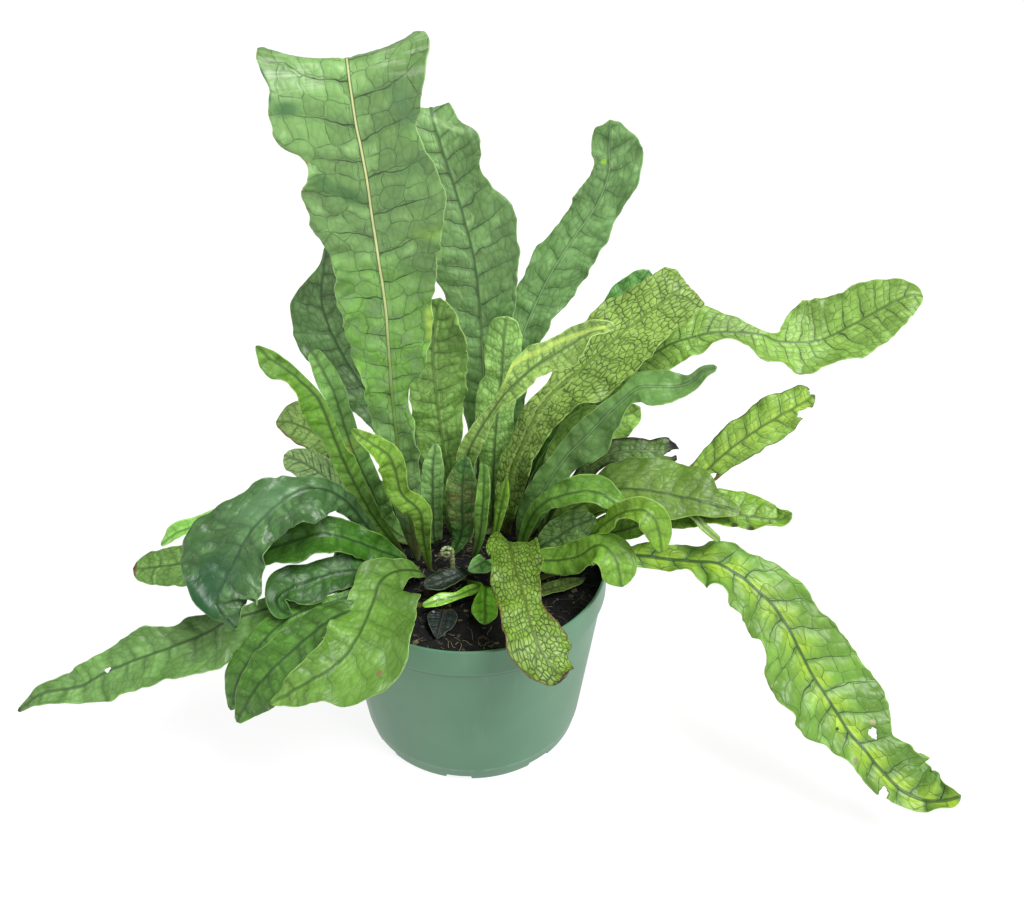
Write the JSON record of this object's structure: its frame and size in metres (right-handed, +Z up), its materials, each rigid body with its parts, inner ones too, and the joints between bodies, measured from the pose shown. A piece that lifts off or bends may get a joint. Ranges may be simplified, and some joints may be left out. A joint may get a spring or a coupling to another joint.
{
  "type": "potted strap fern",
  "caption": "Strap-leaved fern with blistered, net-veined fronds growing from potting mix in a round tapered nursery pot with drain notches.",
  "frame": {"origin": "middle of the pot's flat underside, where it stands on the floor", "axes": "+Z up along the pot's axis; +Y away from the viewer of the picture; +X to the viewer's right, the side of the long drooping frond"},
  "size_m": [0.5363, 0.2272, 0.424],
  "materials": {
    "green_pot_plastic": "satin moulded sea-green plastic",
    "potting_mix": null,
    "frond_deep_green": "glossy deep green blade",
    "frond_mid_green": "satin mid-green blistered blade",
    "frond_blue_green": "satin blue-green blade",
    "frond_bright_green": "glossy bright green blade with a dark vein net",
    "frond_olive_netted": "olive-yellow blade with a dark vein net",
    "young_lime": "tender lime-green young leaf",
    "withered_leaf": "dull grey-brown and olive dying leaf",
    "rolled_bud": "pale cream-green rolled bud",
    "old_stem": "dry cut end of an old stem"
  },
  "bodies": {
    "root": {"nursery_pot": "green_pot_plastic", "potting_mix": "potting_mix", "tall_front_frond": "frond_mid_green", "tall_middle_frond": "frond_deep_green", "tall_right_frond": "frond_deep_green", "back_left_dark_frond": "frond_deep_green", "second_centre_frond": "frond_mid_green", "left_olive_frond": "frond_olive_netted", "left_veined_frond": "frond_olive_netted", "left_bright_frond": "frond_bright_green", "left_inner_frond": "frond_mid_green", "folded_light_frond": "frond_bright_green", "grey_centre_frond": "frond_blue_green", "round_tip_frond": "frond_mid_green", "twisted_pale_frond": "frond_bright_green", "netted_right_frond": "frond_olive_netted", "hidden_back_frond": "frond_deep_green", "long_right_frond": "frond_bright_green", "hook_tip_frond": "frond_blue_green", "hidden_right_frond": "frond_bright_green", "withered_frond": "withered_leaf", "broad_right_frond": "frond_bright_green", "notched_frond": "frond_bright_green", "lower_right_frond": "frond_mid_green", "ribbon_leaf": "frond_bright_green", "hanging_tip_frond": "frond_bright_green", "arching_right_frond": "frond_mid_green", "knob_tip_frond": "frond_bright_green", "drooping_right_frond": "frond_bright_green", "netted_front_frond": "frond_olive_netted", "broad_left_front_frond": "frond_bright_green", "left_under_frond": "frond_mid_green", "small_left_frond": "frond_mid_green", "long_left_frond": "frond_mid_green", "dark_drooping_frond": "frond_deep_green", "far_left_frond": "frond_bright_green", "curled_left_leaf": "frond_bright_green", "left_v_frond": "frond_mid_green", "left_dark_frond": "frond_deep_green", "shade_leaf": "frond_deep_green", "inner_blue_leaf": "frond_blue_green", "spear_leaf": "young_lime", "mottled_frond": "frond_olive_netted", "slim_centre_frond": "frond_mid_green", "dark_netted_right_frond": "frond_deep_green", "sprout_leaf_left": "young_lime", "sprout_leaf_front": "young_lime", "lime_tip_upper": "young_lime", "lime_tip_lower": "young_lime", "old_stem_stump": "old_stem", "fiddlehead": "rolled_bud", "dead_leaf": "withered_leaf", "soil_leaf_right": "withered_leaf"}
  },
  "joints": []
}
